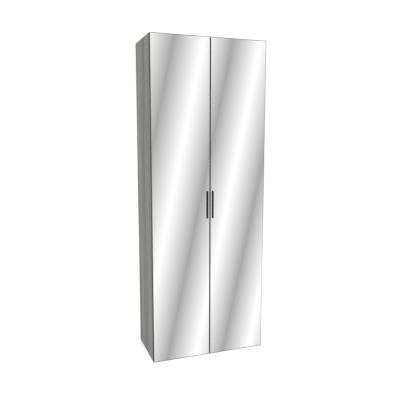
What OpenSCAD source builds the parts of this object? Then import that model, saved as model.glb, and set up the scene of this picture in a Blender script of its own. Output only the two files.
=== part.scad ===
// Two-door wardrobe with full-height mirrored doors.
// The front faces -Y, +Z is up, and the origin is the middle of the bounding box on the floor.

/* [Overall] */
// Width over the two side panels
total_w = 900; // [700:10:1100]
// Height from the floor to the top edge of the sides
total_h = 2410; // [2300:10:2500]
// Depth from the back edge of the sides to the face of the mirrors
total_d = 452; // [400:2:600]

/* [Carcase] */
// Thickness of the side, top, bottom and shelf boards
board_t = 18; // [16:1:22]
// Thickness of the two back sheets
back_t = 3; // [2.5:0.5:4]
// Distance of the back sheets from the rear edge of the sides
back_inset = 10; // [8:1:20]
// Depth of the groove that holds a back sheet
groove_depth = 7; // [5:0.5:9]
// Height of the bottom panel's underside over the floor
plinth_h = 74; // [60:2:90]
// Distance of the front plinth behind the front edge of the sides
plinth_setback = 22; // [15:1:40]
// Height of the hat shelf's top face over the floor
shelf_top_z = 2018; // [1950:2:2100]
// Distance of the hat shelf's front edge behind the front edge of the sides
shelf_setback = 14; // [5:1:40]
// Thickness of the floor glides
glide_t = 4; // [3:0.5:6]
// Diameter of the floor glides
glide_d = 16; // [12:1:16]

/* [Doors] */
// Thickness of the door boards
door_board_t = 22; // [20:1:24]
// Thickness of the mirrors
mirror_t = 4; // [3:0.5:5]
// Gap between the two closed doors
centre_gap = 4; // [3:0.5:6]
// Step from the outer face of a side panel in to the edge of its door
side_reveal = 1; // [0.5:0.5:1.5]
// Step from the top edge of the sides down to the door
top_reveal = 2; // [1:0.5:4]
// Gap under the doors
floor_gap = 6; // [4:1:12]
// Gap between the door boards and the front edge of the carcase
carcase_gap = 3; // [3:0.5:4]
// Width of the rim that a door board keeps round its mirror
mirror_rim = 3; // [2:0.5:10]
// Angle of the left door for viewing, 0 is shut
left_open = 0; // [0:1:95]
// Angle of the right door for viewing, 0 is shut
right_open = 0; // [0:1:95]

/* [Handles] */
// Length of a handle
handle_len = 208; // [180:2:260]
// Width of a handle's bar
handle_w = 7; // [6.5:0.5:12]
// Thickness of a handle's bar
handle_t = 4; // [3:0.5:6]
// Distance from the mirror's face to the front of the bar
handle_reach = 13; // [12:1:30]
// Height of the handle's middle over the floor
handle_z = 1187; // [1000:1:1300]
// Distance of the handle's centre line from the middle of the wardrobe
handle_x = 21.5; // [20:0.5:60]
// Distance from the end of the bar to the middle of a foot
foot_inset = 8; // [6:0.5:20]

/* [Hanging rail] */
// Height of the oval rail
rail_h = 30; // [25:1:35]
// Thickness of the oval rail
rail_w = 15; // [12:1:18]
// Wall of the rail's tube
rail_wall = 1.2; // [1:0.1:2]
// Distance from the shelf's underside to the middle of the rail
rail_drop = 70; // [50:1:100]
// Height of a rail socket's mounting flange
socket_flange_h = 62; // [60:1:80]

/* [Hinges] */
// Number of hinges on each door
hinge_count = 5; // [4:1:5]
// Distance of the first and last hinge from the door's ends
hinge_end = 130; // [120:2:160]
// Diameter of the hinge cup
cup_d = 35; // [35]
// Depth of the cup's hole in the door
cup_hole_depth = 13; // [13:0.25:13.5]
// Distance from the door's outer edge to the edge of the cup's hole
cup_edge = 4; // [4:0.1:4.2]
// Distance from the carcase's front edge to the mounting plate's screws
plate_setback = 37; // [36:0.5:40]

/* [Hidden] */
$fn = 48;
SIDES = ["left", "right"];
HINGE_NUMBERS = [1:hinge_count];
CARCASE_NODES = ["left_side_panel", "right_side_panel", "top_panel", "bottom_panel", "hat_shelf",
    "front_plinth", "rear_plinth", "left_back_sheet", "right_back_sheet", "back_joining_strip",
    "hanging_rail", "left_rail_socket", "right_rail_socket", "rail_socket_screws", "cam_locks",
    "cam_bolts", "wood_dowels", "floor_glides", "left_wall_bracket", "right_wall_bracket",
    "wall_bracket_screws", "door_buffers"];
DOOR_PIECES = ["door_board", "mirror", "handle", "handle_screws", "hinge_cup_screws",
    "outer_links", "inner_links", "mounting_plates", "plate_screws"];

// Clearances
slip = 0.05;            // round the shank of a pin, dowel or screw in its hole
seat_gap = 0.3;         // between pieces that pass or meet without touching
groove_play = 0.3;      // round a back sheet in its groove

// Places of the main faces
back_y = (total_d + handle_reach) / 2;
mirror_y = back_y - total_d;
door_back_y = mirror_y + door_board_t;
front_y = door_back_y + carcase_gap;
side_depth = back_y - front_y;
inner_w = total_w - 2 * board_t;
inner_x = inner_w / 2;
back_front_y = back_y - back_inset - back_t;
door_w = total_w / 2 - side_reveal - centre_gap / 2;
door_x = total_w / 2 - side_reveal;
door_h = total_h - top_reveal - floor_gap;
bottom_top_z = plinth_h + board_t;
top_under_z = total_h - board_t;
shelf_under_z = shelf_top_z - board_t;
rail_z = shelf_under_z - rail_drop;

// Joining strip between the back sheets
strip_flange_t = 1.2;
strip_flange_w = 18;
strip_web_t = 1.4;
panel_rear_y = back_front_y - strip_flange_t - seat_gap;
panel_mid_y = (front_y + panel_rear_y) / 2;
rail_y = panel_mid_y;

// Knock-down fittings
cam_d = 15;
cam_h = 12.5;
cam_from_end = 24;
cam_hole_play = 0.1;
bolt_d = 6;
bolt_neck_d = 3.6;
bolt_head_d = 6;
bolt_head_l = 2.6;
bolt_thread_d = 5;
bolt_thread_l = 11;
dowel_d = 8;
dowel_len = 35;
dowel_in_side = 12;
cam_edge = 60;
dowel_edge = 92;
fitting_y = [front_y + cam_edge, panel_rear_y - cam_edge];
dowel_y = [front_y + dowel_edge, panel_rear_y - dowel_edge];
plinth_dowel_z = [glide_t + 20, plinth_h - 18];

// Screws
wood_screw_d = 4;
wood_screw_head_d = 7.6;
wood_screw_head_h = 2.4;
wood_screw_len = 14;

// Wall brackets
bracket_leg = 34;
bracket_w = 30;
bracket_t = 2;
bracket_x = total_w / 2 - 150;
bracket_hole_d = 6;
bracket_hole_drop = 20;
bracket_screw_pitch = 16;

// Hinge, in its own frame: x runs from the door's outer edge inward, y from the door's back face
// toward the carcase, and z from the middle of the hinge
swing_x = 7.5;
swing_depth = 11;
cup_r = cup_d / 2;
cup_wall = 1;
cup_floor = 1;
cup_depth = 11.5;
cup_x = cup_edge + cup_r;
cup_flange_t = 1.2;
cup_flange_lip = 1;
cup_screw_pitch = 48;
cup_screw_shift = 6;
cup_screw_pad_r = 6.5;
outer_pivot = [32.3, -6.3];
outer_knee = [17.5, -9.5];
outer_pin = [9.9, -7.2];
outer_slot = [[9.85, -7.15], 1.75];
inner_pivot = [28.1, 0.7];
inner_knee = [17.7, -9.5];
inner_pin = [8.4, -7.1];
inner_slot = [[8.35, -6.83], 1.5];
outer_ratio = 0.179;
inner_ratio = 0.167;
link_w = 3;
link_barrel_r = 1.9;
eye_r = 1.6;
pivot_r = 1;
cup_pin_r = 0.6;
slot_half_w = 1;
outer_level = [5.1, 7.1];
inner_level = 3;
ear_level = [3.3, 4.8];
ear_w = 2;
cheek_level = [7.5, 9];
cheek_r = 2.2;
arm_x = [20, 27];
arm_web_t = 1.5;
arm_end = 62;
arm_front = 6;
plate_t = 2;
plate_wing = 22;
plate_w = 11;
plate_body_len = 38;
plate_body_h = 6.2;
plate_screw_pitch = 32;
plate_hole_l = 12;
side_face_x = board_t - side_reveal;
plate_y = carcase_gap + plate_setback;

hinge_z = [for (i = [0:hinge_count - 1])
    floor_gap + hinge_end + i * (door_h - 2 * hinge_end) / (hinge_count - 1)];

// Colours
board_colour = [0.53, 0.53, 0.51];
back_colour = [0.62, 0.58, 0.52];
mirror_colour = [0.85, 0.88, 0.9];
black = [0.08, 0.08, 0.09];
nickel = [0.75, 0.74, 0.72];
zinc = [0.66, 0.66, 0.68];
beech = [0.8, 0.64, 0.44];
white_plastic = [0.9, 0.9, 0.88];

// Mirrors its children for the right-hand side
module hand(side) {
    mirror([side == "right" ? 1 : 0, 0, 0]) children();
}

// Puts children, drawn in the hinge's frame, at hinge number i of the left door
module at_hinge(i) {
    translate([-door_x, door_back_y, hinge_z[i - 1]]) children();
}

// Turns children about the left door's swing axis
module swing(angle) {
    translate([swing_x - door_x, door_back_y - swing_depth, 0])
        rotate([0, 0, -angle])
            translate([door_x - swing_x, swing_depth - door_back_y, 0]) children();
}

// Turns children of the hinge's frame about one of its fixed pivots
module turn_link(pivot, angle) {
    translate([pivot[0] - door_x, pivot[1] + door_back_y, 0])
        rotate([0, 0, angle])
            translate([door_x - pivot[0], -pivot[1] - door_back_y, 0]) children();
}

function open_angle(side) = side == "left" ? left_open : right_open;

// A box given by its low and high corners
module span_box(low, high) {
    translate(low) cube(high - low);
}

// A cylinder along one axis from a start point, length positive along that axis
module rod_x(start, d, l) {
    translate(start) rotate([0, 90, 0]) cylinder(d = d, h = l);
}
module rod_y(start, d, l) {
    translate(start) rotate([-90, 0, 0]) cylinder(d = d, h = l);
}
module rod_z(start, d, l) {
    translate(start) cylinder(d = d, h = l);
}

// Flat shape of a slot from a to b
module slot_shape(a, b, r) {
    translate(a) circle(r);
    translate(b) circle(r);
    strip_shape(a, b, 2 * r);
}

// Flat strip of width w from a to b, with square ends
module strip_shape(a, b, w) {
    run = b - a;
    translate(a) rotate(atan2(run[1], run[0])) translate([0, -w / 2]) square([norm(run), w]);
}

// An oval of height h and width w that stands up along its first axis
module oval_shape(h, w) {
    slot_shape([-(h - w) / 2, 0], [(h - w) / 2, 0], w / 2);
}

// Pan-head wood screw along +Y, with its head's seat at the origin
module wood_screw(len = wood_screw_len) {
    rod_y([0, -wood_screw_head_h, 0], wood_screw_head_d, wood_screw_head_h);
    rod_y([0, 0, 0], wood_screw_d, len);
}
module wood_screw_hole(len = wood_screw_len) {
    rod_y([0, -1, 0], wood_screw_d + 2 * slip, len + 1.5);
}

// Panels between the sides: height of the underside, and the face that the cams are set in
PANEL_LEVELS = [top_under_z, plinth_h, shelf_under_z];
CAM_FROM_TOP = [true, false, false];

// Runs children once for each cam position on the left end of each panel
module each_cam() {
    for (p = [0:2], y = fitting_y)
        translate([-inner_x, y, PANEL_LEVELS[p] + board_t / 2])
            mirror([0, 0, CAM_FROM_TOP[p] ? 0 : 1]) children();
}

// Runs children once for each wooden dowel on the left end of the panels and plinths
module each_dowel() {
    for (level = PANEL_LEVELS, y = dowel_y) translate([-inner_x, y, level + board_t / 2]) children();
    for (y = [front_y + plinth_setback + board_t / 2, panel_rear_y - board_t / 2], z = plinth_dowel_z)
        translate([-inner_x, y, z]) children();
}

module both_ends() {
    children();
    mirror([1, 0, 0]) children();
}

module cam_hole() {
    translate([cam_from_end, 0, board_t / 2 - cam_h - cam_hole_play])
        cylinder(d = cam_d + 2 * cam_hole_play, h = cam_h + 1);
    rod_x([-1, 0, 0], bolt_d + 2 * slip, cam_from_end);
}

module bolt_side_hole() {
    rod_x([-bolt_thread_l - 1, 0, 0], bolt_thread_d + 2 * slip, bolt_thread_l + 2);
}

module dowel_hole() {
    rod_x([-dowel_in_side - 0.5, 0, 0], dowel_d + 2 * slip, dowel_len + 1);
}

// A cam with its bolt channel and driver slot
module cam_lock() {
    difference() {
        translate([cam_from_end, 0, board_t / 2 - cam_h]) cylinder(d = cam_d, h = cam_h - 0.2);
        rod_x([cam_from_end - cam_d, 0, 0], bolt_neck_d + 1, cam_d);
        rod_x([cam_from_end - 3, 0, 0], bolt_head_d + 1, 6);
        translate([cam_from_end - 5, -0.6, board_t / 2 - 2.2]) cube([10, 1.2, 4]);
        translate([cam_from_end - 0.6, -5, board_t / 2 - 2.2]) cube([1.2, 10, 4]);
    }
}

// Bolt from the side panel into the cam
module cam_bolt() {
    rod_x([-bolt_thread_l, 0, 0], bolt_thread_d, bolt_thread_l + 0.5);
    rod_x([0, 0, 0], bolt_d, cam_from_end - cam_d / 2 - 1);
    rod_x([0, 0, 0], bolt_neck_d, cam_from_end);
    rod_x([cam_from_end - 2, 0, 0], bolt_head_d, bolt_head_l);
}

// Side panel, drawn for the left
module side_panel() {
    color(board_colour) difference() {
        span_box([-total_w / 2, front_y, glide_t], [-inner_x, back_y, total_h]);
        span_box([-inner_x - groove_depth, back_front_y - groove_play / 2, glide_t - 1],
            [1 - inner_x, back_front_y + back_t + groove_play / 2, total_h + 1]);
        each_cam() bolt_side_hole();
        each_dowel() dowel_hole();
        for (i = HINGE_NUMBERS) at_hinge(i) plate_screw_places() plate_screw_hole();
        socket_screw_places() socket_screw_hole();
        for (y = side_glide_y()) glide_place([-total_w / 2 + board_t / 2, y]) glide_nail(slip);
    }
}

// A board between the sides, with the holes for its fittings
module cross_board(level) {
    color(board_colour) difference() {
        span_box([-inner_x, front_y, level], [inner_x, panel_rear_y, level + board_t]);
        both_ends() {
            each_cam() cam_hole();
            each_dowel() dowel_hole();
        }
        buffer_places() buffer_stem(slip);
        bracket_screw_places() rod_z([0, 0, 0], wood_screw_d + 2 * slip, wood_screw_len + 0.5);
    }
}

module hat_shelf() {
    color(board_colour) difference() {
        span_box([-inner_x, front_y + shelf_setback, shelf_under_z],
            [inner_x, panel_rear_y, shelf_top_z]);
        both_ends() {
            each_cam() cam_hole();
            each_dowel() dowel_hole();
        }
    }
}

// Plinth board with its front face at y
module plinth(y) {
    color(board_colour) difference() {
        span_box([-inner_x, y, glide_t], [inner_x, y + board_t, plinth_h]);
        both_ends() each_dowel() dowel_hole();
        glide_place([0, y + board_t / 2]) glide_nail(slip);
    }
}

// Back sheet, drawn for the left, from its groove to the joining strip
module back_sheet() {
    color(back_colour) difference() {
        span_box([-inner_x - groove_depth + groove_play, back_front_y, plinth_h],
            [-strip_web_t / 2 - slip, back_front_y + back_t, total_h - 1]);
        bracket_place() bracket_wall_hole();
    }
}

// Strip of H section that joins the two back sheets
module back_joining_strip() {
    strip_x = strip_flange_w / 2;
    color(white_plastic) {
        span_box([-strip_x, back_front_y - strip_flange_t, plinth_h],
            [strip_x, back_front_y, total_h - 1]);
        span_box([-strip_web_t / 2, back_front_y - 0.5, plinth_h],
            [strip_web_t / 2, back_front_y + back_t + 0.5, total_h - 1]);
        span_box([-strip_x, back_front_y + back_t, plinth_h],
            [strip_x, back_front_y + back_t + strip_flange_t, total_h - 1]);
    }
}

// Rail sockets
socket_flange_t = 2.5;
socket_reach = 14;
socket_wall = 2.5;
socket_screw_z = socket_flange_h / 2 - 6.5;
socket_floor = socket_flange_t;

module socket_screw_places() {
    for (z = [-socket_screw_z, socket_screw_z]) translate([-inner_x, rail_y, rail_z + z]) children();
}
module socket_screw_hole() {
    rod_x([-wood_screw_len - 0.5, 0, 0], wood_screw_d + 2 * slip, wood_screw_len + 5);
}

// Socket that carries the left end of the rail
module rail_socket() {
    rim_h = rail_h + 2 * (socket_wall + seat_gap);
    rim_w = rail_w + 2 * (socket_wall + seat_gap);
    color(nickel) difference() {
        translate([-inner_x, rail_y, rail_z]) rotate([0, 90, 0]) {
            linear_extrude(socket_flange_t) oval_shape(socket_flange_h, rim_w);
            linear_extrude(socket_reach) oval_shape(rim_h, rim_w);
        }
        translate([socket_floor - inner_x, rail_y, rail_z]) rotate([0, 90, 0])
            linear_extrude(socket_reach) oval_shape(rail_h + 2 * slip, rail_w + 2 * slip);
        socket_screw_places() socket_screw_hole();
    }
}

module hanging_rail() {
    rail_len = inner_w - 2 * (socket_floor + seat_gap);
    color(nickel) translate([-rail_len / 2, rail_y, rail_z]) rotate([0, 90, 0])
        linear_extrude(rail_len) difference() {
            oval_shape(rail_h, rail_w);
            oval_shape(rail_h - 2 * rail_wall, rail_w - 2 * rail_wall);
        }
}

module rail_socket_screws() {
    color(zinc) both_ends() socket_screw_places()
        translate([socket_flange_t, 0, 0]) rotate([0, 0, 90]) wood_screw();
}

// Floor glides: discs with a nail
glide_nail_d = 2;
glide_nail_l = 12;

function side_glide_y() = [front_y + 30, back_y - 30];

module glide_place(xy) {
    translate([xy[0], xy[1], 0]) children();
}
module glide_nail(play = 0) {
    rod_z([0, 0, glide_t - 0.5], glide_nail_d + 2 * play, glide_nail_l + play);
}
module glide() {
    difference() {
        cylinder(d = glide_d, h = glide_t);
        translate([0, 0, -1]) cylinder(d = glide_d / 2, h = 1.6);
    }
    glide_nail();
}
module floor_glides() {
    color(black) {
        both_ends() for (y = side_glide_y()) glide_place([-total_w / 2 + board_t / 2, y]) glide();
        glide_place([0, front_y + plinth_setback + board_t / 2]) glide();
        glide_place([0, panel_rear_y - board_t / 2]) glide();
    }
}

module cam_locks() {
    color(zinc) both_ends() each_cam() cam_lock();
}
module cam_bolts() {
    color(zinc) both_ends() each_cam() cam_bolt();
}
module wood_dowels() {
    color(beech) both_ends() each_dowel() rod_x([-dowel_in_side, 0, 0], dowel_d, dowel_len);
}

// Wall brackets under the top panel
module bracket_place() {
    translate([-bracket_x, back_front_y, top_under_z]) children();
}
module bracket_screw_places() {
    both_ends() bracket_place() for (x = [-1, 1])
        translate([x * bracket_screw_pitch / 2, -bracket_leg / 2 - 3, 0]) children();
}
module bracket_wall_hole() {
    rod_y([0, -bracket_t - 1, -bracket_hole_drop], bracket_hole_d, bracket_t + back_t + 2);
}
module wall_bracket() {
    color(zinc) difference() {
        bracket_place() union() {
            span_box([-bracket_w / 2, -bracket_leg, -bracket_t], [bracket_w / 2, 0, 0]);
            span_box([-bracket_w / 2, -bracket_t, -bracket_leg], [bracket_w / 2, 0, 0]);
        }
        bracket_place() bracket_wall_hole();
        bracket_screw_places() rod_z([0, 0, -bracket_t - 1], wood_screw_d + 2 * slip, bracket_t + 2);
    }
}
module wall_bracket_screws() {
    color(zinc) bracket_screw_places()
        translate([0, 0, -bracket_t]) rotate([90, 0, 0]) wood_screw();
}

// Soft buffers on the front edges of the top and bottom panels
buffer_d = 9;
buffer_stem_d = 4;
buffer_stem_l = 7;
buffer_x = 60;
module buffer_places() {
    for (x = [-buffer_x, buffer_x], level = [top_under_z, plinth_h])
        translate([x, front_y, level + board_t / 2]) children();
}
module buffer_stem(play = 0) {
    rod_y([0, -0.5, 0], buffer_stem_d + 2 * play, buffer_stem_l + 0.5 + play);
}
module door_buffers() {
    color(white_plastic) buffer_places() {
        rod_y([0, seat_gap - carcase_gap, 0], buffer_d, carcase_gap - seat_gap);
        buffer_stem();
    }
}

// Doors, drawn for the left
handle_bolt_d = 4;
handle_bolt_in_foot = handle_reach - 5;
handle_bolt_head_d = 8.5;
handle_bolt_head_h = 2.6;
foot_len = 10;
foot_z = handle_len / 2 - foot_inset;
cup_hole_play = 0.1;

module handle_bolt_places() {
    for (z = [-foot_z, foot_z]) translate([-handle_x, mirror_y, handle_z + z]) children();
}
module handle_bolt_hole() {
    rod_y([0, -1, 0], handle_bolt_d + 2 * slip, door_board_t + 2);
}
module cup_screw_places() {
    for (z = [-1, 1])
        translate([cup_x + cup_screw_shift, 0, z * cup_screw_pitch / 2]) children();
}

// Slab of a door between two depths, set in from the door's edges
module door_slab(inset, low_y, high_y) {
    span_box([inset - door_x, low_y, floor_gap + inset],
        [door_w - door_x - inset, high_y, floor_gap + door_h - inset]);
}

// Board with a rebate in its front that takes the mirror flush
module door_board() {
    color(board_colour) difference() {
        door_slab(0, mirror_y, door_back_y);
        door_slab(mirror_rim, mirror_y - 1, mirror_y + mirror_t);
        handle_bolt_places() handle_bolt_hole();
        for (i = HINGE_NUMBERS) at_hinge(i) {
            rod_y([cup_x, -cup_hole_depth, 0], cup_d + 2 * cup_hole_play, cup_hole_depth + 1);
            cup_screw_places() rod_y([0, -wood_screw_len, 0], wood_screw_d + 2 * slip, wood_screw_len + 1);
        }
    }
}

module mirror_sheet() {
    color(mirror_colour) difference() {
        door_slab(mirror_rim + seat_gap, mirror_y, mirror_y + mirror_t);
        handle_bolt_places() handle_bolt_hole();
    }
}

// Slim low handle: a flat bar on two feet of its own width
module handle() {
    half_w = handle_w / 2;
    color(black) difference() {
        union() {
            translate([-handle_x, mirror_y, handle_z])
                span_box([-half_w, -handle_reach, -handle_len / 2],
                    [half_w, handle_t - handle_reach, handle_len / 2]);
            handle_bolt_places() span_box([-half_w, handle_t - handle_reach - 0.5, -foot_len / 2],
                [half_w, 0, foot_len / 2]);
        }
        handle_bolt_places() rod_y([0, -handle_bolt_in_foot - 1, 0], handle_bolt_d + 2 * slip,
            handle_bolt_in_foot + 2);
    }
}

module handle_screws() {
    color(zinc) handle_bolt_places() {
        rod_y([0, -handle_bolt_in_foot, 0], handle_bolt_d, door_board_t + handle_bolt_in_foot + 0.5);
        rod_y([0, door_board_t, 0], handle_bolt_head_d, handle_bolt_head_h);
    }
}

// Hinge cup in the hinge's frame, with its flange, the ears and the pins of the two links
module hinge_cup() {
    inner_r = cup_r - cup_wall;
    color(nickel) {
        difference() {
            union() {
                rod_y([cup_x, -cup_depth - cup_floor, 0], cup_d, cup_depth + cup_floor + 0.5);
                translate([0, cup_flange_t, 0]) rotate([90, 0, 0]) linear_extrude(cup_flange_t)
                    cup_flange_shape();
            }
            rod_y([cup_x, -cup_depth, 0], 2 * inner_r, cup_depth + cup_flange_t + 1);
            cup_screw_places() rod_y([0, -1, 0], wood_screw_d + 2 * slip, cup_flange_t + 2);
        }
        for (s = [-1, 1]) {
            cup_ear(s);
            outer_pin_stub(s);
        }
        rod_z([inner_pin[0], inner_pin[1], -ear_level[1]], 2 * cup_pin_r, 2 * ear_level[1]);
    }
}

// Flange of the cup, with a pad for each screw
module cup_flange_shape() {
    pad_x = cup_x + cup_screw_shift;
    pad_z = cup_screw_pitch / 2;
    translate([cup_x, 0]) circle(cup_r + cup_flange_lip);
    slot_shape([pad_x, -pad_z], [pad_x, pad_z], cup_screw_pad_r);
}

// Ear on the floor of the cup that holds an end of the inner link's pin
module cup_ear(s) {
    low = s > 0 ? ear_level[0] : -ear_level[1];
    high = s > 0 ? ear_level[1] : -ear_level[0];
    span_box([inner_pin[0] - ear_w / 2, -cup_depth - 0.5, low],
        [inner_pin[0] + ear_w / 2, inner_pin[1], high]);
    rod_z([inner_pin[0], inner_pin[1], low], ear_w, high - low);
}

// Stub from the cup's wall that carries one cheek of the outer link
module outer_pin_stub(s) {
    chord = sqrt(pow(cup_r - cup_wall, 2) - pow(cup_x - outer_pin[0], 2));
    low = s > 0 ? outer_level[0] - 0.2 : -chord - 0.4;
    high = s > 0 ? chord + 0.4 : 0.2 - outer_level[0];
    rod_z([outer_pin[0], outer_pin[1], low], 2 * cup_pin_r, high - low);
}

// Flat shape of a link: two straight runs, a barrel at the fixed pivot, and an eye round the cup's pin
// whose slot is given by its start and its run
module link_shape(pivot, knee, pin, slot) {
    difference() {
        union() {
            strip_shape(pivot, knee, link_w);
            strip_shape(knee, pin, link_w);
            translate(knee) circle(link_w / 2);
            translate(pivot) circle(link_barrel_r);
            slot_shape(slot[0], slot[0] + [slot[1], 0], eye_r);
        }
        translate(pivot) circle(pivot_r + slip);
        slot_shape(slot[0], slot[0] + [slot[1], 0], slot_half_w);
    }
}

module outer_link() {
    for (s = [0, 1]) mirror([0, 0, s]) translate([0, 0, outer_level[0]])
        linear_extrude(outer_level[1] - outer_level[0])
            link_shape(outer_pivot, outer_knee, outer_pin, outer_slot);
    translate([0, 0, -outer_level[1]]) linear_extrude(2 * outer_level[1]) difference() {
        translate(outer_pivot) circle(link_barrel_r);
        translate(outer_pivot) circle(pivot_r + slip);
    }
}

module inner_link() {
    translate([0, 0, -inner_level]) linear_extrude(2 * inner_level)
        link_shape(inner_pivot, inner_knee, inner_pin, inner_slot);
}

// Arm: a channel over the mounting plate whose two cheeks carry the pivots of the links
module hinge_arm() {
    color(nickel) {
        for (s = [0, 1]) mirror([0, 0, s]) translate([0, 0, cheek_level[0]])
            linear_extrude(cheek_level[1] - cheek_level[0]) cheek_shape();
        difference() {
            span_box([arm_x[1] - arm_web_t, arm_front, -cheek_level[1]],
                [arm_x[1], arm_end, cheek_level[1]]);
            for (y = [plate_y - 14, plate_y + 14])
                rod_x([arm_x[1] - arm_web_t - 1, y, 0], 4, arm_web_t + 2);
        }
        for (p = [outer_pivot, inner_pivot])
            rod_z([p[0], p[1], -cheek_level[1]], 2 * pivot_r, 2 * cheek_level[1]);
    }
}

// Side wall of the arm, from its tip in the cup to its end over the plate
module cheek_shape() {
    neck = [(arm_x[0] + arm_x[1]) / 2 + 0.5, arm_front + 1];
    neck_r = arm_x[1] - neck[0];
    slot_shape(outer_pivot, inner_pivot, cheek_r);
    slot_shape(inner_pivot, neck, neck_r - 0.8);
    translate([arm_x[0], arm_front]) square([arm_x[1] - arm_x[0], arm_end - arm_front]);
}

// Mounting plate on the side panel: a wing for the screws and a raised body in the arm
module plate_screw_places() {
    for (z = [-1, 1]) translate([side_face_x, plate_y, z * plate_screw_pitch / 2]) children();
}
module plate_screw_hole() {
    rod_x([-plate_hole_l - 0.5, 0, 0], wood_screw_d + 2 * slip, plate_hole_l + 5);
}
module mounting_plate() {
    difference() {
        union() {
            span_box([side_face_x, plate_y - plate_w / 2, -plate_wing],
                [side_face_x + plate_t, plate_y + plate_w / 2, plate_wing]);
            span_box([side_face_x, plate_y - plate_body_len / 2, -cheek_level[0] + seat_gap],
                [side_face_x + plate_body_h, plate_y + plate_body_len / 2, cheek_level[0] - seat_gap]);
        }
        plate_screw_places() plate_screw_hole();
    }
}
module plate_screw() {
    translate([plate_t, 0, 0]) rotate([0, 0, 90]) wood_screw(plate_hole_l + plate_t);
}

// Pieces that repeat down one door, drawn for the left
module mounting_plates() {
    color(nickel) for (i = HINGE_NUMBERS) at_hinge(i) mounting_plate();
}
module plate_screws() {
    color(zinc) for (i = HINGE_NUMBERS) at_hinge(i) plate_screw_places() plate_screw();
}
module hinge_cup_screws() {
    color(zinc) for (i = HINGE_NUMBERS) at_hinge(i) cup_screw_places()
        translate([0, cup_flange_t, 0]) rotate([180, 0, 0]) wood_screw();
}
module outer_links() {
    color(nickel) for (i = HINGE_NUMBERS) at_hinge(i) outer_link();
}
module inner_links() {
    color(nickel) for (i = HINGE_NUMBERS) at_hinge(i) inner_link();
}

// Draws its children on one side if that node is wanted
module side_node(side, piece) {
    hand(side) children();
}
module door_node(side, piece) {
    side_node(side, piece) swing(open_angle(side)) children();
}

cross_board(top_under_z);  // top_panel
cross_board(plinth_h);  // bottom_panel
hat_shelf();
plinth(front_y + plinth_setback);  // front_plinth
plinth(panel_rear_y - board_t);  // rear_plinth
back_joining_strip();
hanging_rail();
rail_socket_screws();
cam_locks();
cam_bolts();
wood_dowels();
floor_glides();
wall_bracket_screws();
door_buffers();
for (side = SIDES) {
    side_node(side, "side_panel") side_panel();
    side_node(side, "back_sheet") back_sheet();
    side_node(side, "rail_socket") rail_socket();
    side_node(side, "wall_bracket") wall_bracket();
    side_node(side, "mounting_plates") mounting_plates();
    side_node(side, "plate_screws") plate_screws();
    side_node(side, "outer_links")
        turn_link(outer_pivot, outer_ratio * open_angle(side)) outer_links();
    side_node(side, "inner_links")
        turn_link(inner_pivot, inner_ratio * open_angle(side)) inner_links();
    door_node(side, "door_board") door_board();
    door_node(side, "mirror") mirror_sheet();
    door_node(side, "handle") handle();
    door_node(side, "handle_screws") handle_screws();
    door_node(side, "hinge_cup_screws") hinge_cup_screws();
    for (i = HINGE_NUMBERS) {
        door_node(side, str("hinge_cup_", i)) at_hinge(i) hinge_cup();
        side_node(side, str("hinge_arm_", i)) at_hinge(i) hinge_arm();
    }
}
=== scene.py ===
"""Looks of the two-door mirrored wardrobe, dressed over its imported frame."""
import math

import bmesh
import bpy
from mathutils import Euler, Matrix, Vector


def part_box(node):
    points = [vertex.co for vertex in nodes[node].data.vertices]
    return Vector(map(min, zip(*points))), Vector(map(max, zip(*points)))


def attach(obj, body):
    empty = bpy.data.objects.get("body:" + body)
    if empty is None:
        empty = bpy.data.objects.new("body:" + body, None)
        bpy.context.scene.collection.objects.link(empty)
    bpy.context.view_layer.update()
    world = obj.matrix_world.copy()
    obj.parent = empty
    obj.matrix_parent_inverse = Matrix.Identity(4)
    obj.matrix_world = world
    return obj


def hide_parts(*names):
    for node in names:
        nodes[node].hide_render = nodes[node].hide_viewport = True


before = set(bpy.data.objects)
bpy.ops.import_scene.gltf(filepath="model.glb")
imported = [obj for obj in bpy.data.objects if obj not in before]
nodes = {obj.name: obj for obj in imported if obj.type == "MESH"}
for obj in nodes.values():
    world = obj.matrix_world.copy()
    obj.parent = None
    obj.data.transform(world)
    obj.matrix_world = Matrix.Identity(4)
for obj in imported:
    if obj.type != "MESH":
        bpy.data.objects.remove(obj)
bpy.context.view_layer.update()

X, Y, Z = range(3)
HINGES = range(1, 6)
# The way along x that leads into the wardrobe from each side
INWARD = {"left": 1, "right": -1}

# Sizes in metres
BOARD_EDGE_RADIUS = 0.0008
MIRROR_ARRIS = 0.0005
HANDLE_RADIUS = 0.0006
BRACKET_RADIUS = 0.0004
STAMPING_RADIUS = 0.0002
WOOD_SCREW = {"Head width": 0.0076, "Head height": 0.0024, "Shank width": 0.004,
              "Length": 0.014, "Thread pitch": 0.0018, "Recess": 0.0044}
HANDLE_BOLT = {"Head width": 0.0085, "Head height": 0.0026, "Shank width": 0.004,
               "Length": 0.030, "Thread pitch": 0.0012, "Recess": 0.0048}
ARM_SCREW = {"Head width": 0.0062, "Head height": 0.0014, "Shank width": 0.0036,
             "Length": 0.006, "Thread pitch": 0.0012, "Recess": 0.0038}
BUFFER = {"Width": 0.009, "Height": 0.0027, "Stem width": 0.004, "Stem length": 0.0068}
# How far the adjusting screws of a hinge arm stand behind the door board
ARM_SCREW_SETBACKS = (0.026, 0.054)
# How deep a hinge arm is, from its plate's side to the web that carries those screws
ARM_DEPTH = 0.007
# How close two corners of a mesh are one point, and how close a point is on a plane
SAME_POINT = 2e-6
ON_PLANE = 1e-5

# Angles between two faces, in degrees: up to the first they are one face, from the last ones on
# their edge is rounded, or stays crisp on what was rounded and on screws
ONE_FACE = 0.4
FACETS_OF_A_CURVE = (0.5, 12)
CORNER = 35
CRISP = 50
CRISP_ON_SCREWS = 38

# A dome's flat top lacks this share of its foot's area, and its side curves by this power
DOME_LOSS = 0.62
DOME_CURVE = 2.4
# Share of its length that a shank or stem reaches up into its head
OVERLAP = 0.02
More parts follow.
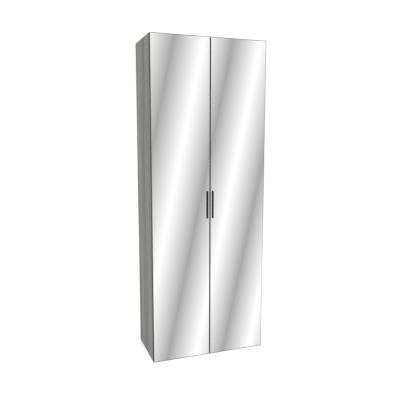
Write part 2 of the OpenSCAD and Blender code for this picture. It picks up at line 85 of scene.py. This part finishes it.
# Shares of a shank's width: the depth of its thread on both sides, and its tip
THREAD_DEPTH = 0.25
SCREW_TIP = 0.12
# A cross recess: the width of an arm to its span, and its depth to the head's height
RECESS_ARM = 0.2
RECESS_DEPTH = 0.65
# The width of a buffer's stem at its end, to its full width
STEM_END = 0.57
SPIN_SEED = 7

# Linear colours, many as a pair that is mixed
WARM_AND_COOL_DARK = ((0.1185, 0.1115, 0.0945), (0.1105, 0.116, 0.099))
WARM_AND_COOL_LIGHT = ((0.2535, 0.247, 0.225), (0.2405, 0.250, 0.2355))
DECOR_PORE = (0.090, 0.086, 0.077)
BOARD_BAND = (0.190, 0.188, 0.176)
# The doors' edge band is dark partly as its own colour and partly as painted shade, standing in
# for the shade on the doors' edges and in the gaps beside them
DOOR_BAND_AND_PAINTED_SHADE = (0.040, 0.040, 0.038)
SILVER = (0.962, 0.962, 0.961)
GLASS_EDGE = (0.12, 0.19, 0.165)
COAT = ((0.006, 0.006, 0.006), (0.011, 0.011, 0.011))
RAW_FIBRE = ((0.170, 0.098, 0.052), (0.330, 0.205, 0.115))
FIBRE_STAIN = (0.150, 0.085, 0.045)
BEECH = ((0.38, 0.22, 0.11), (0.60, 0.40, 0.22))

# Streaks of the grey decor, as noise cells in a metre across and along the grain
SWAY_CELLS = (3.0, 0.9)
WIDE_CELLS = (9.0, 0.22)
BROAD_CELLS = (44.0, 1.1)
FINE_CELLS = (260.0, 4.0)
PORE_CELLS = (1100.0, 38.0)
TINT_CELLS = (16.0, 0.9)
MOST_SWAY = 0.02

# The photo's view: place in metres, angles in degrees, lens in millimetres
CAMERA_PLACE = (-1.2676, -3.5129, 1.6898)
CAMERA_DOWN = 7.544
CAMERA_TO_RIGHT = 19.826
CAMERA_LENS = 42.6

# Where each soft box stands and how wide it is, in metres, and its power in watts
SOFT_BOXES = {"key": ((-3.2, -3.6, 4.2), 2.6, 52), "fill": ((3.6, -2.4, 2.6), 3.0, 25),
              "front": ((0.6, -4.5, 2.0), 2.2, 170), "back": ((1.6, 3.8, 3.6), 3.0, 45)}


# Node helpers, for shaders and shapes alike

class Number:
    """A number that nodes work out, for use in sums like a plain one."""

    def __init__(self, socket):
        self.socket = socket

    def __add__(self, other):
        return solve("ADD", self, other)

    def __sub__(self, other):
        return solve("SUBTRACT", self, other)

    def __rsub__(self, other):
        return solve("SUBTRACT", other, self)

    def __mul__(self, other):
        return solve("MULTIPLY", self, other)

    def __truediv__(self, other):
        return solve("DIVIDE", self, other)

    def __rtruediv__(self, other):
        return solve("DIVIDE", other, self)

    def __pow__(self, other):
        return solve("POWER", self, other)

    def __abs__(self):
        return solve("ABSOLUTE", self)


def feed(socket, value):
    """Links an input to a node's output, or sets it to a plain value."""
    if isinstance(value, Number):
        value = value.socket
    if isinstance(value, bpy.types.NodeSocket):
        socket.id_data.links.new(value, socket)
    elif socket.type == "RGBA":
        socket.default_value = (*value, 1)
    else:
        socket.default_value = value


def set_up(node, **values):
    """Sets a node's properties and inputs, with _ for each space in an input's name."""
    for key, value in values.items():
        label = key.replace("_", " ")
        if label in node.inputs:
            feed(node.inputs[label], value)
        else:
            setattr(node, key, value)
    return node


def place(tree, kind, **values):
    """Adds a node to a tree and sets it up."""
    return set_up(tree.nodes.new(kind), **values)


def solve(operation, *values):
    """A math node on numbers, of which at least one is worked out by nodes."""
    tree = next(value.socket.id_data for value in values if isinstance(value, Number))
    made = place(tree, "ShaderNodeMath", operation=operation)
    for socket, value in zip(made.inputs, values):
        feed(socket, value)
    return Number(made.outputs[0])


def fit(value, low, high, new_low, new_high, smooth=False):
    """Maps low..high to new_low..new_high and holds the ends."""
    made = place(value.socket.id_data, "ShaderNodeMapRange", Value=value, From_Min=low,
                 From_Max=high, To_Min=new_low, To_Max=new_high,
                 interpolation_type="SMOOTHSTEP" if smooth else "LINEAR")
    return Number(made.outputs["Result"])


def split(vector):
    """The x, y and z of a vector."""
    made = place(vector.id_data, "ShaderNodeSeparateXYZ", Vector=vector)
    return [Number(part) for part in made.outputs]


def join(tree, x=0.0, y=0.0, z=0.0):
    """A vector of three numbers."""
    return place(tree, "ShaderNodeCombineXYZ", X=x, Y=y, Z=z).outputs[0]


# Shader helpers

def new_material(name):
    """A material with only a principled shader, and that shader."""
    material = bpy.data.materials.new(name)
    material.use_nodes = True
    return material, material.node_tree.nodes["Principled BSDF"]


def own_place(shader):
    """Each point's place on the piece, in metres."""
    return shader.id_data.nodes.new("ShaderNodeTexCoord").outputs["Object"]


def own_normal(shader):
    """The surface's direction in the piece's own axes, as three numbers."""
    return split(shader.id_data.nodes.new("ShaderNodeTexCoord").outputs["Normal"])


def noise(where, per_metre, detail=3.0, roughness=0.5, offset=(0, 0, 0)):
    """Noise round 0.5 with its own scale along each axis."""
    tree = where.id_data
    scaled = place(tree, "ShaderNodeMapping", Vector=where, Scale=per_metre, Location=offset)
    made = place(tree, "ShaderNodeTexNoise", Vector=scaled.outputs["Vector"], Scale=1.0,
                 Detail=detail, Roughness=roughness)
    return Number(made.outputs["Fac"])


def stretch(value, low=0.0, high=1.0, reach=0.2):
    """Stretches noise, which reaches that far to both sides of 0.5, to low..high."""
    return fit(value, 0.5 - reach, 0.5 + reach, low, high)


def darker(colour, share):
    """A colour with only a share of its light."""
    return tuple(share * part for part in colour)


def blend_colours(factor, first, second):
    """Mixes two colours, each an output or linear red, green and blue."""
    made = place(factor.socket.id_data, "ShaderNodeMix", data_type="RGBA", Factor=factor)
    # The node has an A, a B and a result for each kind of value, and these are for colours
    feed(made.inputs[6], first)
    feed(made.inputs[7], second)
    return made.outputs[2]


def emboss(shader, height, distance, strength):
    """Lets a height bend the shader's normal."""
    made = place(shader.id_data, "ShaderNodeBump", Distance=distance, Strength=strength,
                 Height=height)
    feed(shader.inputs["Normal"], made.outputs["Normal"])


def faces_along(shader, axis, both_ways=True):
    """1 where the surface faces along one of the piece's axes, else 0."""
    size = own_normal(shader)[axis]
    if both_ways:
        size = abs(size)
    return fit(size, 0.6, 0.8, 0.0, 1.0)


# Materials

def per_axis(grain, across, along):
    """A scale for each axis, with another one along the grain."""
    return tuple(along if axis == grain else across for axis in (X, Y, Z))


def wood_print(where, grain):
    """Wide, broad, fine and pore values of a printed wood decor, its grain along one axis."""
    tree = where.id_data
    sway = fit(noise(where, per_axis(grain, *SWAY_CELLS)), 0.0, 1.0, -MOST_SWAY, MOST_SWAY)
    aside = join(tree, *[0.0 if axis == grain else sway for axis in (X, Y, Z)])
    bent = tree.nodes.new("ShaderNodeVectorMath")
    feed(bent.inputs[0], where)
    feed(bent.inputs[1], aside)
    bent = bent.outputs[0]
    wide = noise(bent, per_axis(grain, *WIDE_CELLS), detail=2.0, offset=(11, 4.6, 8))
    broad = noise(bent, per_axis(grain, *BROAD_CELLS), detail=5.0, roughness=0.64)
    fine = noise(bent, per_axis(grain, *FINE_CELLS), detail=5.0, roughness=0.65)
    pores = noise(bent, per_axis(grain, *PORE_CELLS), detail=2.0)
    return wide, broad, fine, pores


def grey_decor(where, grain):
    """The decor's colour, with its fine streaks and its pores."""
    wide, broad, fine, pores = wood_print(where, grain)
    streak = broad * 0.45 + fine * 0.34 + wide * 0.21
    tone = stretch(streak, reach=0.075)
    tint = noise(where, per_axis(grain, *TINT_CELLS), detail=2.0, offset=(3, 5, 7))
    tint = stretch(tint, reach=0.14)
    dark = blend_colours(tint, *WARM_AND_COOL_DARK)
    light = blend_colours(tint, *WARM_AND_COOL_LIGHT)
    colour = blend_colours(tone, dark, light)
    pore = fit(pores, 0.58, 0.68, 0.0, 0.6)
    return blend_colours(pore, colour, DECOR_PORE), fine, pores


def laminate(name, grain, face, band, both_faces=True):
    """Melamine-faced board: a grey wood decor on its faces, a plainer band on its edges."""
    material, shader = new_material(name)
    colour, fine, pores = grey_decor(own_place(shader), grain)
    edge = blend_colours(stretch(fine), darker(band, 0.85), band)
    on_face = faces_along(shader, face, both_faces)
    set_up(shader, Base_Color=blend_colours(on_face, edge, colour), Specular_IOR_Level=0.35,
           Roughness=stretch(fine, 0.44, 0.60))
    emboss(shader, fine - pores * 0.6, distance=0.00025, strength=0.35)
    return material


def silvered_glass():
    """Float glass silvered behind: a mirror on its faces, polished green glass on its edges."""
    material, shader = new_material("Silvered glass")
    on_face = faces_along(shader, Y)
    haze = stretch(noise(own_place(shader), (6, 6, 6), detail=2.0), 0.0, 0.005)
    edge_haze = fit(on_face, 0.0, 1.0, 0.16, 0.0)
    set_up(shader, Base_Color=blend_colours(on_face, GLASS_EDGE, SILVER), Metallic=on_face,
           Roughness=haze + edge_haze)
    return material


def powder_coat():
    """Fine-textured matt black powder coat, a little polished where hands rub it."""
    material, shader = new_material("Black powder coat")
    where = own_place(shader)
    grit = noise(where, (900, 900, 900), roughness=0.6)
    rubbed = fit(noise(where, (30, 30, 12), detail=2.0), 0.35, 0.7, 0.0, 1.0)
    set_up(shader, Base_Color=blend_colours(rubbed, *COAT), Specular_IOR_Level=0.15,
           Roughness=stretch(grit, 0.42, 0.58))
    emboss(shader, grit, distance=0.00012, strength=0.5)
    return material


def plated(name, colour, smooth, rough, drawn_along=Z):
    """Plated steel, faintly clouded, with fine marks drawn along one axis."""
    material, shader = new_material(name)
    where = own_place(shader)
    marks = noise(where, per_axis(drawn_along, 1400.0, 60.0), roughness=0.6)
    cloud = stretch(noise(where, (55, 55, 55)))
    set_up(shader, Base_Color=blend_colours(cloud, darker(colour, 0.86), colour), Metallic=0.9,
           Roughness=stretch(marks, smooth, rough))
    emboss(shader, marks, distance=0.00003, strength=0.3)
    return material


def hardboard():
    """Back sheet: printed like the boards toward the inside, raw brown fibre behind."""
    material, shader = new_material("Hardboard")
    where = own_place(shader)
    behind = fit(own_normal(shader)[Y], 0.2, 0.6, 0.0, 1.0)
    fibres = noise(where, (420, 420, 290), detail=5.0, roughness=0.7)
    stain = fit(noise(where, (3.5, 3.5, 3.5), detail=4.0), 0.35, 0.7, 0.0, 0.4)
    raw = blend_colours(stretch(fibres), *RAW_FIBRE)
    raw = blend_colours(stain, raw, FIBRE_STAIN)
    printed = grey_decor(where, Z)[0]
    set_up(shader, Base_Color=blend_colours(behind, printed, raw),
           Roughness=fit(behind, 0.0, 1.0, 0.5, 0.85))
    emboss(shader, fibres * behind, distance=0.0004, strength=0.6)
    return material


def moulded(name, dark, light, roughness, grain=600.0):
    """Moulded plastic with a fine texture."""
    material, shader = new_material(name)
    where = own_place(shader)
    cloud = stretch(noise(where, (40, 40, 40)))
    texture = noise(where, (grain, grain, grain), detail=2.0)
    set_up(shader, Base_Color=blend_colours(cloud, dark, light),
           Roughness=stretch(texture, roughness - 0.06, roughness + 0.06))
    emboss(shader, texture, distance=0.00006, strength=0.4)
    return material


def beech():
    """Beech with short flecks along the dowel."""
    material, shader = new_material("Beech")
    flecks = noise(own_place(shader), (60, 900, 900), detail=4.0, roughness=0.6)
    set_up(shader, Base_Color=blend_colours(stretch(flecks, reach=0.15), *BEECH),
           Roughness=stretch(flecks, 0.55, 0.7))
    return material


upright_board = laminate("Grey decor upright", grain=Z, face=X, band=BOARD_BAND)
level_board = laminate("Grey decor level", grain=X, face=Z, band=BOARD_BAND)
plinth_board = laminate("Grey decor plinth", grain=X, face=Y, band=BOARD_BAND)
# The doors' edges get a band colour that is partly painted shade
door_board = laminate("Grey decor door", grain=Z, face=Y, band=DOOR_BAND_AND_PAINTED_SHADE, both_faces=False)
mirror = silvered_glass()
black_coat = powder_coat()
nickel = plated("Nickel plate", (0.70, 0.685, 0.65), smooth=0.26, rough=0.40)
zinc = plated("Zinc plate", (0.64, 0.66, 0.69), smooth=0.30, rough=0.46)
chrome = plated("Chrome tube", (0.76, 0.77, 0.78), smooth=0.06, rough=0.12, drawn_along=X)
fibre_board = hardboard()
white_plastic = moulded("White plastic", (0.60, 0.60, 0.575), (0.70, 0.70, 0.68), 0.45)
buffer_rubber = moulded("Buffer rubber", (0.42, 0.42, 0.40), (0.55, 0.55, 0.53), 0.30, 300.0)
black_plastic = moulded("Black plastic", (0.012, 0.012, 0.012), (0.025, 0.025, 0.026), 0.5)
dowel_beech = beech()


# CAD nodes that keep their own meshes

def paint(node, material):
    """Gives a CAD node its material."""
    slots = nodes[node].data.materials
    if len(slots) == 0:
        slots.append(material)
    for i in range(len(slots)):
        slots[i] = material


paint("back_joining_strip", white_plastic)
paint("hanging_rail", chrome)
paint("cam_locks", zinc)
paint("cam_bolts", zinc)
paint("wood_dowels", dowel_beech)
paint("floor_glides", black_plastic)
for side in INWARD:
    paint(f"{side}_back_sheet", fibre_board)
    paint(f"{side}_rail_socket", nickel)


# Boards, mirrors, handles, brackets and hinges with their edges eased

def add_piece(name, mesh, material, body, slot, *stands_for):
    """A new piece of one material that rides on a body and may stand for CAD nodes."""
    made = bpy.data.objects.new(name, mesh)
    bpy.context.scene.collection.objects.link(made)
    mesh.materials.clear()
    mesh.materials.append(material)
    if stands_for:
        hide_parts(*stands_for)
    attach(made, body)


def on_box_edge(vertices, low, high):
    """Whether an edge lies along an edge of the node's box."""
    shared = 0
    for axis in (X, Y, Z):
        for plane in (low[axis], high[axis]):
            shared += all(abs(v.co[axis] - plane) < ON_PLANE for v in vertices)
    return shared >= 2


def rounded(face, radius):
    """Whether a face belongs to an eased edge or to the facets of a curve."""
    width = 2 * face.calc_area() / face.calc_perimeter()
    turns = [math.degrees(edge.calc_face_angle(0)) for edge in face.edges]
    least, most = FACETS_OF_A_CURVE
    return width < radius or any(least < turn < most for turn in turns)


def eased(node, body, material, slot, radius, segments=2, every_edge=False):
    """A copy of a CAD node with its outer edges rounded, which stands for that node."""
    mesh = nodes[node].data.copy()
    low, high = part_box(node)
    work = bmesh.new()
    work.from_mesh(mesh)
    bmesh.ops.remove_doubles(work, verts=work.verts, dist=SAME_POINT)
    bmesh.ops.dissolve_limit(work, angle_limit=math.radians(ONE_FACE), verts=work.verts,
                             edges=work.edges)
    chosen = []
    for edge in work.edges:
        has_two_faces = len(edge.link_faces) == 2
        outer = has_two_faces and edge.calc_face_angle_signed(0) > math.radians(CORNER)
        if outer and (every_edge or on_box_edge(edge.verts, low, high)):
            chosen.append(edge)
    bmesh.ops.bevel(work, geom=chosen, offset=radius, segments=segments, profile=0.5,
                    affect="EDGES", clamp_overlap=True)
    work.normal_update()
    for face in work.faces:
        face.smooth = rounded(face, radius)
    for edge in work.edges:
        edge.smooth = edge.calc_face_angle(0) < math.radians(CRISP)
    work.to_mesh(mesh)
    work.free()
    if "custom_normal" in mesh.attributes:
        mesh.attributes.remove(mesh.attributes["custom_normal"])
    add_piece(f"eased_{node}", mesh, material, body, slot, node)


def stamped(node, body):
    """A nickel-plated stamping of the hinges, with all its outer edges rounded."""
    eased(node, body, nickel, "nickel", STAMPING_RADIUS, every_edge=True)


for side in INWARD:
    door = f"{side}_door"
    eased(f"{side}_side_panel", "carcase", upright_board, "board", BOARD_EDGE_RADIUS)
    eased(f"{side}_door_board", door, door_board, "door_board", BOARD_EDGE_RADIUS)
    eased(f"{side}_mirror", door, mirror, "mirror", MIRROR_ARRIS, segments=1)
    eased(f"{side}_handle", door, black_coat, "black_metal", HANDLE_RADIUS, segments=3,
          every_edge=True)
    eased(f"{side}_wall_bracket", "carcase", zinc, "zinc", BRACKET_RADIUS)
    stamped(f"{side}_mounting_plates", "carcase")
    stamped(f"{side}_outer_links", f"{side}_outer_link_set")
    stamped(f"{side}_inner_links", f"{side}_inner_link_set")
    for number in HINGES:
        stamped(f"{side}_hinge_arm_{number}", "carcase")
        stamped(f"{side}_hinge_cup_{number}", door)
for node in ("top_panel", "bottom_panel", "hat_shelf"):
    eased(node, "carcase", level_board, "board", BOARD_EDGE_RADIUS)
for node in ("front_plinth", "rear_plinth"):
    eased(node, "carcase", plinth_board, "board", BOARD_EDGE_RADIUS)


# Forms of the screws and buffers, built as geometry nodes

def shape_tree(name, inputs):
    """A geometry tree with named inputs and one way out: the tree, what it is given, the exit."""
    tree = bpy.data.node_groups.new(name, "GeometryNodeTree")
    for label, kind in inputs.items():
        tree.interface.new_socket(label, in_out="INPUT", socket_type=f"NodeSocket{kind}")
    tree.interface.new_socket("Geometry", in_out="OUTPUT", socket_type="NodeSocketGeometry")
    entry = tree.nodes.new("NodeGroupInput").outputs
    given = {}
    for label, kind in inputs.items():
        given[label] = Number(entry[label]) if kind == "Float" else entry[label]
    return tree, given, tree.nodes.new("NodeGroupOutput").inputs["Geometry"]


def own_point(tree):
    """The x, y and z of each point."""
    return split(tree.nodes.new("GeometryNodeInputPosition").outputs[0])


def reshape(mesh, width, height):
    """Scales each point's x and y by width and puts it at a new height."""
    tree = mesh.id_data
    x, y, _ = own_point(tree)
    target = join(tree, x * width, y * width, height)
    return place(tree, "GeometryNodeSetPosition", Geometry=mesh, Position=target).outputs[0]


def rod(width, length, around, rings):
    """A cylinder round z, half above and half below the origin."""
    made = place(width.socket.id_data, "GeometryNodeMeshCylinder", Vertices=around,
                 Side_Segments=rings, Radius=width * 0.5, Depth=length)
    return made.outputs["Mesh"]


def dome(width, height, around):
    """A low dome with a flat top, standing on the origin."""
    z = own_point(width.socket.id_data)[Z]
    level = z / height + 0.5
    narrowing = solve("SQRT", 1.0 - level ** DOME_CURVE * DOME_LOSS)
    return reshape(rod(width, height, around, rings=6), narrowing, z + height * 0.5)


def unite(operation, first, *others):
    """A boolean of closed meshes."""
    made = place(first.id_data, "GeometryNodeMeshBoolean", operation=operation,
                 solver="MANIFOLD")
    if operation == "DIFFERENCE":
        feed(made.inputs["Mesh 1"], first)
    else:
        others = (first, *others)
    for other in others:
        feed(made.inputs["Mesh 2"], other)
    return made.outputs["Mesh"]


def screw_tree():
    """A pan-head screw down from the origin, with a thread, a point and a cross recess."""
    tree, given, out = shape_tree("Screw", {label: "Float" for label in WOOD_SCREW})
    head_height = given["Head height"]
    width = given["Shank width"]
    length = given["Length"]
    recess = given["Recess"]
    x, y, z = own_point(tree)
    down = z - length * (0.5 - OVERLAP)
    turns = down / given["Thread pitch"] + solve("ARCTAN2", y, x) / (2 * math.pi)
    thread = 1.0 - solve("PINGPONG", turns, 0.5) * (2 * THREAD_DEPTH)
    above_tip = down + length * (1 - OVERLAP)
    point = solve("MINIMUM", above_tip / width + SCREW_TIP, 1.0)
    shank = reshape(rod(width, length, around=12, rings=40), thread * point, down)
    body = unite("UNION", dome(given["Head width"], head_height, around=26), shank)
    arm = recess * RECESS_ARM
    for wide, narrow in ((recess, arm), (arm, recess)):
        size = join(tree, wide, narrow, head_height * (2 * RECESS_DEPTH))
        cutter = place(tree, "GeometryNodeMeshCube", Size=size).outputs["Mesh"]
        cutter = place(tree, "GeometryNodeTransform", Geometry=cutter,
                       Translation=join(tree, z=head_height)).outputs[0]
        body = unite("DIFFERENCE", body, cutter)
    feed(out, body)
    return tree


def buffer_tree():
    """A domed buffer up from the origin with a stem below."""
    tree, given, out = shape_tree("Buffer", {label: "Float" for label in BUFFER})
    length = given["Stem length"]
    down = own_point(tree)[Z] - length * (0.5 - OVERLAP)
    taper = solve("MINIMUM", down / length + (1 - OVERLAP + STEM_END), 1.0)
    stem = reshape(rod(given["Stem width"], length, around=20, rings=8), taper, down)
    head = dome(given["Width"], given["Height"], around=32)
    feed(out, unite("UNION", head, stem))
    return tree


def placing_tree(name, form, sizes):
    """Puts one form on every point, all turned alike and each spun by chance."""
    inputs = {"Points": "Geometry", **{label: "Float" for label in sizes}, "Turn": "Vector",
              "Seed": "Int", "Material": "Material"}
    tree, given, out = shape_tree(name, inputs)
    made = place(tree, "GeometryNodeGroup", node_tree=form)
    for label in sizes:
        feed(made.inputs[label], given[label])
    copies = place(tree, "GeometryNodeInstanceOnPoints", Points=given["Points"],
                   Instance=made.outputs["Geometry"], Rotation=given["Turn"]).outputs[0]
    chance = place(tree, "FunctionNodeRandomValue", data_type="FLOAT_VECTOR", Min=(0, 0, 0),
                   Max=(0, 0, 2 * math.pi), Seed=given["Seed"]).outputs["Value"]
    spun = place(tree, "GeometryNodeRotateInstances", Instances=copies, Rotation=chance,
                 Local_Space=True).outputs[0]
    real = place(tree, "GeometryNodeRealizeInstances", Geometry=spun).outputs[0]
    coated = place(tree, "GeometryNodeSetMaterial", Geometry=real,
                   Material=given["Material"]).outputs[0]
    feed(out, coated)
    return tree


SCREWS = placing_tree("Screws", screw_tree(), WOOD_SCREW)
BUFFERS = placing_tree("Buffers", buffer_tree(), BUFFER)
# The turn that points a form's head along an axis, one way or the other
TURNS = {(X, 1): (0, math.pi / 2, 0), (X, -1): (0, -math.pi / 2, 0),
         (Y, 1): (-math.pi / 2, 0, 0), (Y, -1): (math.pi / 2, 0, 0),
         (Z, 1): (0, 0, 0), (Z, -1): (math.pi, 0, 0)}


# Screws and buffers on their seats

def placed(tree, points, sizes, axis, way, material):
    """The mesh of a tree's form on each point, its head pointing along an axis, either way."""
    spots = bpy.data.meshes.new("spots")
    spots.from_pydata([tuple(point) for point in points], [], [])
    holder = bpy.data.objects.new("holder", spots)
    bpy.context.scene.collection.objects.link(holder)
    modifier = holder.modifiers.new("place", "NODES")
    modifier.node_group = tree
    values = {**sizes, "Turn": TURNS[axis, way], "Seed": SPIN_SEED, "Material": material}
    for item in tree.interface.items_tree:
        if item.in_out == "INPUT" and item.name in values:
            modifier[item.identifier] = values[item.name]
    bpy.context.view_layer.update()
    graph = bpy.context.evaluated_depsgraph_get()
    mesh = bpy.data.meshes.new_from_object(holder.evaluated_get(graph))
    bpy.data.objects.remove(holder)
    return mesh


def fasten(name, meshes, material, body, slot, *stands_for):
    """One smooth piece from several meshes."""
    work = bmesh.new()
    for mesh in meshes:
        work.from_mesh(mesh)
    for face in work.faces:
        face.smooth = True
    joined = bpy.data.meshes.new(name)
    work.to_mesh(joined)
    work.free()
    joined.set_sharp_from_angle(angle=math.radians(CRISP_ON_SCREWS))
    add_piece(name, joined, material, body, slot, *stands_for)


def solids_of(node):
    """The low and high corners of each separate solid of a CAD node."""
    work = bmesh.new()
    work.from_mesh(nodes[node].data)
    bmesh.ops.remove_doubles(work, verts=work.verts, dist=SAME_POINT)
    waiting = set(work.verts)
    found = []
    while waiting:
        reached = [waiting.pop()]
        corners = []
        while reached:
            point = reached.pop()
            corners.append(point.co.copy())
            for edge in point.link_edges:
                other = edge.other_vert(point)
                if other in waiting:
                    waiting.remove(other)
                    reached.append(other)
        found.append((Vector([min(c[axis] for c in corners) for axis in (X, Y, Z)]),
                      Vector([max(c[axis] for c in corners) for axis in (X, Y, Z)])))
    work.free()
    return sorted(found, key=lambda pair: tuple(round(c, 4) for c in pair[0]))


def seats(node, axis, way, head_height):
    """Where the heads of a node's screws sit, for heads that point along an axis."""
    found = []
    for low, high in solids_of(node):
        seat = (low + high) / 2
        seat[axis] = high[axis] - head_height if way > 0 else low[axis] + head_height
        found.append(seat)
    return found


def seated_screws(name, node, body, axis, way, sizes=WOOD_SCREW):
    """Zinc-plated screws in place of a CAD node's plain ones."""
    points = seats(node, axis, way, sizes["Head height"])
    fasten(name, [placed(SCREWS, points, sizes, axis, way, zinc)], zinc, body, "zinc", node)


def arm_screws(side, inward):
    """The two adjusting screws on each hinge arm of one door."""
    door_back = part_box(f"{side}_door_board")[1][Y]
    points = []
    for number in HINGES:
        low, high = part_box(f"{side}_hinge_arm_{number}")
        web = low[X] + ARM_DEPTH if inward > 0 else high[X] - ARM_DEPTH
        for setback in ARM_SCREW_SETBACKS:
            points.append((web, door_back + setback, (low[Z] + high[Z]) / 2))
    fasten(f"{side}_arm_screw_set", [placed(SCREWS, points, ARM_SCREW, X, inward, zinc)],
           zinc, "carcase", "zinc")


def socket_screws():
    """The rail sockets' screws, whose heads point inward at both ends of the rail."""
    node = "rail_socket_screws"
    meshes = []
    for way in INWARD.values():
        points = [seat for seat in seats(node, X, way, WOOD_SCREW["Head height"])
                  if seat.x * way < 0]
        meshes.append(placed(SCREWS, points, WOOD_SCREW, X, way, zinc))
    fasten("rail_socket_screw_set", meshes, zinc, "carcase", "zinc", node)


def door_buffers():
    """The four clear buffers that the doors close on."""
    points = seats("door_buffers", Y, -1, BUFFER["Height"])
    fasten("door_buffer_set", [placed(BUFFERS, points, BUFFER, Y, -1, buffer_rubber)],
           buffer_rubber, "carcase", "white_plastic", "door_buffers")


for side, inward in INWARD.items():
    door = f"{side}_door"
    seated_screws(f"{side}_plate_screw_set", f"{side}_plate_screws", "carcase", X, inward)
    seated_screws(f"{side}_cup_screw_set", f"{side}_hinge_cup_screws", door, Y, 1)
    seated_screws(f"{side}_handle_bolt_set", f"{side}_handle_screws", door, Y, 1, HANDLE_BOLT)
    arm_screws(side, inward)
socket_screws()
seated_screws("wall_bracket_screw_set", "wall_bracket_screws", "carcase", Z, -1)
door_buffers()


# Camera, floor and light

def photo_camera():
    """The photo's view, from eye height in front and to the left."""
    lens = bpy.data.cameras.new("camera")
    lens.lens = CAMERA_LENS
    lens.sensor_width = 36.0
    made = bpy.data.objects.new("camera", lens)
    made.location = CAMERA_PLACE
    made.rotation_euler = Euler((math.radians(90 - CAMERA_DOWN), 0,
                                 math.radians(-CAMERA_TO_RIGHT)))
    bpy.context.scene.collection.objects.link(made)
    bpy.context.scene.camera = made


def pale_floor(reach=30):
    """A plain pale floor that the mirrors don't show."""
    mesh = bpy.data.meshes.new("floor")
    mesh.from_pydata([(-reach, -reach, 0), (reach, -reach, 0), (reach, reach, 0),
                      (-reach, reach, 0)], [], [(0, 1, 2, 3)])
    material, shader = new_material("Pale floor")
    set_up(shader, Base_Color=(0.93, 0.93, 0.93), Roughness=0.9, Specular_IOR_Level=0.1,
           Emission_Color=(1, 1, 1), Emission_Strength=0.45)
    mesh.materials.append(material)
    made = bpy.data.objects.new("floor", mesh)
    bpy.context.scene.collection.objects.link(made)
    made.visible_glossy = False


def mirrored_bands(x, z, depth):
    """Slanting bands of light and shade, as wide on the doors as the photo shows them."""
    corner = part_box("left_door_board")[0]
    mirror_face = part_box("left_mirror")[0][Y]
    # In metres across and up the doors, as a share of the pitch, and as brightness in the photo
    pitch_across, pitch_up = 0.452, 2.07
    first_dark = 0.232
    dark, light = 0.392, 1.027
    ahead = (mirror_face - CAMERA_PLACE[Y]) / solve("MAXIMUM", depth, 0.1)
    across = x * ahead + (CAMERA_PLACE[X] - corner[X])
    up = z * ahead + CAMERA_PLACE[Z]
    wave = solve("PINGPONG", across / pitch_across - up / pitch_up - first_dark, 0.5)
    return fit(wave, 0.0, 0.5, dark / SILVER[0], light / SILVER[0])


def studio_world(soft=0.60, side_wall=1.6, backdrop=1.05):
    """White behind the wardrobe, an even soft light on it, bands of light and shade where the
    mirrors look, and bright walls at both sides for the edges to catch."""
    world = bpy.data.worlds.new("studio")
    bpy.context.scene.world = world
    world.use_nodes = True
    tree = world.node_tree
    tree.nodes.clear()
    # The way that a ray looks, as shares along the axes
    x, y, z = split(tree.nodes.new("ShaderNodeTexCoord").outputs["Generated"])
    depth = abs(y)
    walls = fit(abs(x), 0.80, 0.92, 0.7, side_wall, smooth=True)
    straight_ahead = fit(depth, 0.45, 0.72, 0.0, 1.0, smooth=True)
    shown = place(tree, "ShaderNodeMix", Factor=straight_ahead, A=walls,
                  B=mirrored_bands(x, z, depth)).outputs[0]
    rays = tree.nodes.new("ShaderNodeLightPath").outputs
    strength = place(tree, "ShaderNodeMix", Factor=rays["Is Glossy Ray"], A=soft,
                     B=shown).outputs[0]
    seen = Number(rays["Is Camera Ray"]) * backdrop
    light = place(tree, "ShaderNodeBackground", Color=(1, 1, 1),
                  Strength=solve("MAXIMUM", Number(strength), seen))
    out = tree.nodes.new("ShaderNodeOutputWorld")
    feed(out.inputs["Surface"], light.outputs[0])


def soft_box(name, stands_at, width, power, aim=(0, 0, 1.1)):
    """A large square light aimed at the wardrobe that mirrors don't show."""
    lamp = bpy.data.lights.new(name, "AREA")
    lamp.shape = "SQUARE"
    lamp.size = width
    lamp.energy = power
    made = bpy.data.objects.new(name, lamp)
    made.location = stands_at
    way = Vector(aim) - Vector(stands_at)
    made.rotation_euler = way.to_track_quat("-Z", "Y").to_euler()
    made.visible_glossy = False
    bpy.context.scene.collection.objects.link(made)


photo_camera()
pale_floor()
studio_world()
for name, (stands_at, width, power) in SOFT_BOXES.items():
    soft_box(name, stands_at, width, power)
bpy.context.scene.view_settings.view_transform = "Standard"
